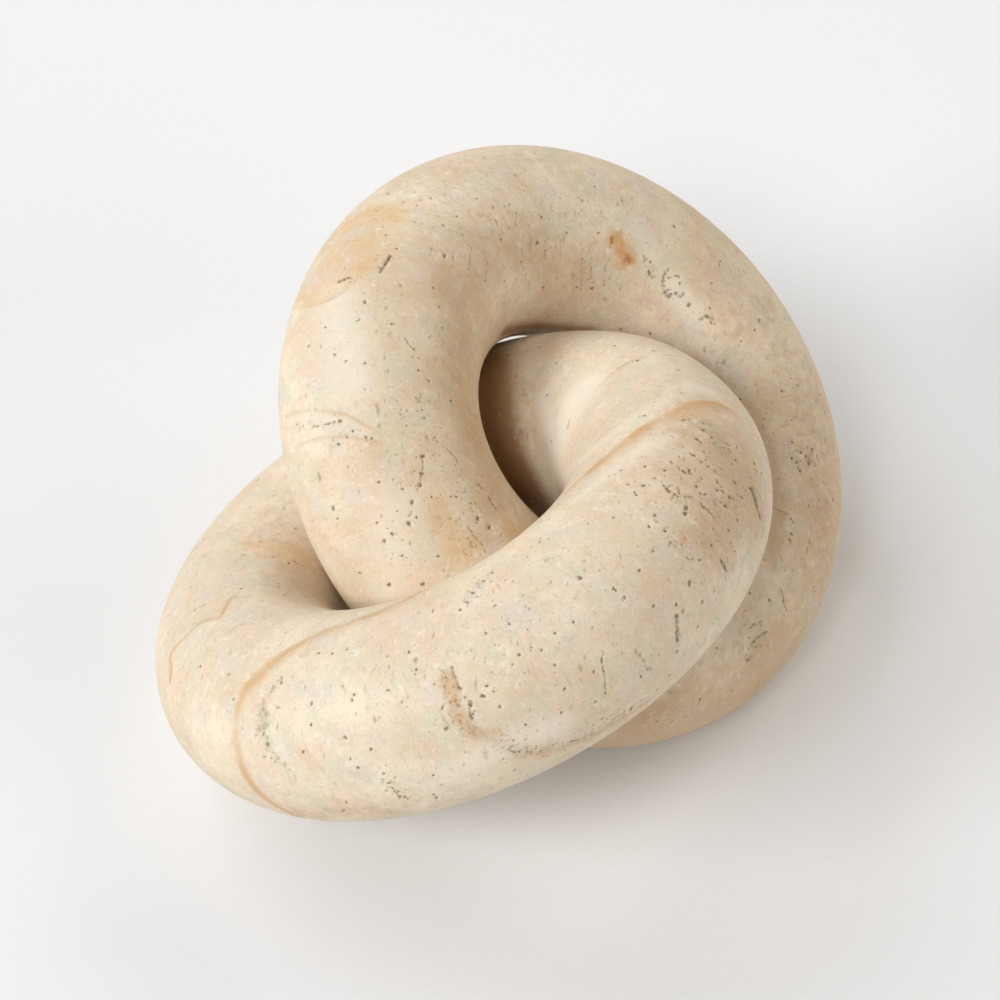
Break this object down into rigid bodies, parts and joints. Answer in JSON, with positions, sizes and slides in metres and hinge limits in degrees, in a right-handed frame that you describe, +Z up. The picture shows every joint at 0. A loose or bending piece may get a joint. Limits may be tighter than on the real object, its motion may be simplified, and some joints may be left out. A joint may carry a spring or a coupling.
{
  "type": "linked stone ring sculpture",
  "caption": "Table sculpture of interlocked thick round limestone rings that lean on each other, loose in one another like chain links.",
  "frame": {"origin": "on the surface that the sculpture rests on, below the middle of the pair of rings", "axes": "+Z up, Y along the line through the two ring centres with the front ring towards -Y, X across it"},
  "size_m": [0.1332, 0.1994, 0.1021],
  "materials": {
    "back_limestone": "honed beige limestone, small open pits, tan bedding veins, a rust spot",
    "front_limestone": "honed beige limestone, small open pits, tan bedding veins, a rust streak"
  },
  "bodies": {
    "front_ring": {"front_ring": "front_limestone"},
    "back_ring": {"back_ring": "back_limestone"}
  },
  "joints": [
    {"name": "back_ring_turn", "type": "hinge", "parent": "front_ring", "child": "back_ring", "pos_m": [0, 0.02465, 0.05079], "axis": [0.5433, 0, 0.8396], "continuous": true}
  ]
}
